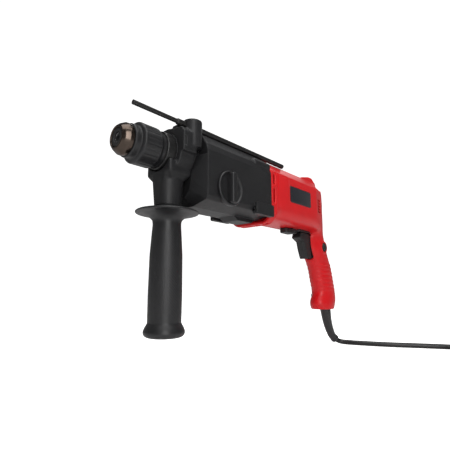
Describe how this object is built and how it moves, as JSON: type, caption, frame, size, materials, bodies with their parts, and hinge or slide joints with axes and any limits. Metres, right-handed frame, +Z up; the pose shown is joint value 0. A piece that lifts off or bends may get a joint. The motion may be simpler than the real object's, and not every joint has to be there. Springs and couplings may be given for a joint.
{
  "type": "rotary hammer",
  "caption": "Corded pistol-grip rotary hammer drill with keyless shank chuck, swivelling side handle, depth rod and coiled mains lead.",
  "frame": {"origin": "middle of the pistol grip, where the hand closes, in the tool's middle plane", "axes": "-X along the spindle towards the tool bit, +Y to the operator's right, +Z up"},
  "size_m": [0.541, 0.3525, 0.276],
  "materials": {
    "black_castings": "fine moulded grain, satin black",
    "red_shell": "smooth satin red moulding",
    "black_rubber": "matt black rubber",
    "black_plastic": "matt black plastic",
    "dark_bronze": "polished dark bronze finish",
    "steel": "turned steel",
    "blackened_steel": "blackened steel",
    "aluminium": "die cast",
    "copper": "enamelled copper",
    "brass": "plain brass",
    "carbon": "pressed carbon",
    "plate": "blank gloss plate",
    "cord": "smooth black rubber sheath"
  },
  "bodies": {
    "housing": {"air_baffle": "black_plastic", "brush_holders": "brass", "brush_springs": "steel", "carbon_brushes": "carbon", "cord_clamp": "black_plastic", "cord_coil": "cord", "cord_lead": "cord", "cord_tail": "cord", "cord_tie": "black_plastic", "countershaft_bearings": "steel", "field_coils": "copper", "gear_housing": "black_castings", "gear_housing_screws": "steel", "grip_backstrap": "black_rubber", "hammer_tube_bush": "brass", "housing_left": "red_shell", "housing_right": "red_shell", "housing_screws": "steel", "inner_housing": "aluminium", "motor_bearings": "steel", "name_plate": "plate", "plug_body": "black_plastic", "plug_pins": "brass", "rear_pad": "black_rubber", "spindle_bearing": "steel", "spindle_seal": "black_rubber", "stator_core": "steel", "strain_relief": "black_rubber", "switch_body": "black_plastic", "trigger_trim": "black_plastic"},
    "spindle": {"spindle_tube": "steel", "spindle_gear": "steel", "chuck_nose": "dark_bronze", "dust_cap": "black_rubber", "chuck_collar": "blackened_steel", "locking_balls": "steel", "chuck_spring": "steel"},
    "chuck_release": {"chuck_sleeve": "black_plastic"},
    "impact_bolt": {"impact_bolt": "steel"},
    "striker": {"striker": "steel"},
    "piston": {"piston": "aluminium"},
    "piston_pin": {"piston_pin": "steel"},
    "wobble": {"wobble_ring": "steel"},
    "countershaft": {"countershaft": "steel", "countershaft_pinion": "steel", "countershaft_gear": "steel", "wobble_drum": "steel"},
    "armature": {"armature_shaft": "steel", "armature_core": "steel", "armature_windings": "copper", "commutator": "copper", "fan": "black_plastic"},
    "mode_knob": {"mode_knob": "black_plastic"},
    "direction_lever": {"direction_lever": "black_plastic"},
    "trigger": {"trigger": "black_plastic"},
    "lock_button": {"lock_button": "black_plastic"},
    "handle_clamp": {"handle_clamp": "black_plastic", "clamp_stud": "steel"},
    "side_grip": {"side_grip": "black_plastic"},
    "depth_rod": {"depth_rod": "blackened_steel"}
  },
  "joints": [
    {"name": "armature_spin", "type": "hinge", "parent": "housing", "child": "armature", "pos_m": [-0.099, 0, 0.1158], "axis": [1, 0, 0], "continuous": true},
    {"name": "countershaft_spin", "type": "hinge", "parent": "housing", "child": "countershaft", "pos_m": [-0.249, 0, 0.099], "axis": [1, 0, 0], "continuous": true},
    {"name": "spindle_spin", "type": "hinge", "parent": "housing", "child": "spindle", "pos_m": [-0.339, 0, 0.13], "axis": [1, 0, 0], "continuous": true},
    {"name": "wobble_swing", "type": "hinge", "parent": "housing", "child": "wobble", "pos_m": [-0.23, 0, 0.099], "axis": [0, 1, 0], "range_deg": [-16, 16]},
    {"name": "piston_slide", "type": "slide", "parent": "housing", "child": "piston", "axis": [1, 0, 0], "range_m": [-0.0087, 0.0087]},
    {"name": "piston_pin_turn", "type": "hinge", "parent": "piston", "child": "piston_pin", "pos_m": [-0.23, 0, 0.13], "axis": [0, 1, 0], "range_deg": [-16, 16]},
    {"name": "striker_slide", "type": "slide", "parent": "spindle", "child": "striker", "axis": [1, 0, 0], "range_m": [-0.003, 0.0015]},
    {"name": "impact_bolt_slide", "type": "slide", "parent": "spindle", "child": "impact_bolt", "axis": [-1, 0, 0], "range_m": [0, 0.003]},
    {"name": "chuck_sleeve_slide", "type": "slide", "parent": "spindle", "child": "chuck_release", "axis": [1, 0, 0], "range_m": [0, 0.004], "stiffness_N_per_m": 1500, "springref_m": -0.004, "deforming": ["chuck_spring"]},
    {"name": "mode_knob_turn", "type": "hinge", "parent": "housing", "child": "mode_knob", "pos_m": [-0.2765, -0.036, 0.097], "axis": [0, 1, 0], "range_deg": [-60, 60]},
    {"name": "direction_lever_swing", "type": "hinge", "parent": "housing", "child": "direction_lever", "pos_m": [-0.093, 0, 0.076], "axis": [0, 0, 1], "range_deg": [-12, 12]},
    {"name": "trigger_slide", "type": "slide", "parent": "housing", "child": "trigger", "axis": [1, 0, 0], "range_m": [0, 0.006], "stiffness_N_per_m": 800, "springref_m": -0.004},
    {"name": "lock_button_slide", "type": "slide", "parent": "housing", "child": "lock_button", "axis": [0, 1, 0], "range_m": [0, 0.003], "stiffness_N_per_m": 400, "springref_m": -0.002},
    {"name": "side_handle_swing", "type": "hinge", "parent": "housing", "child": "handle_clamp", "pos_m": [-0.335, 0, 0.13], "axis": [-1, 0, 0], "range_deg": [0, 70]},
    {"name": "side_grip_twist", "type": "hinge", "parent": "handle_clamp", "child": "side_grip", "pos_m": [-0.335, 0, 0.03], "axis": [0, 0, 1], "range_deg": [0, 360]},
    {"name": "depth_rod_slide", "type": "slide", "parent": "handle_clamp", "child": "depth_rod", "axis": [-1, 0, 0], "range_m": [-0.058, 0.15]}
  ],
  "couplings": [
    {"joint": "countershaft_spin", "follows": "armature_spin", "ratio": -0.21739},
    {"joint": "spindle_spin", "follows": "armature_spin", "ratio": 0.063406},
    {"joint": "piston_slide", "follows": "wobble_swing", "m_per_rad": 0.031},
    {"joint": "piston_pin_turn", "follows": "wobble_swing", "ratio": 1}
  ]
}
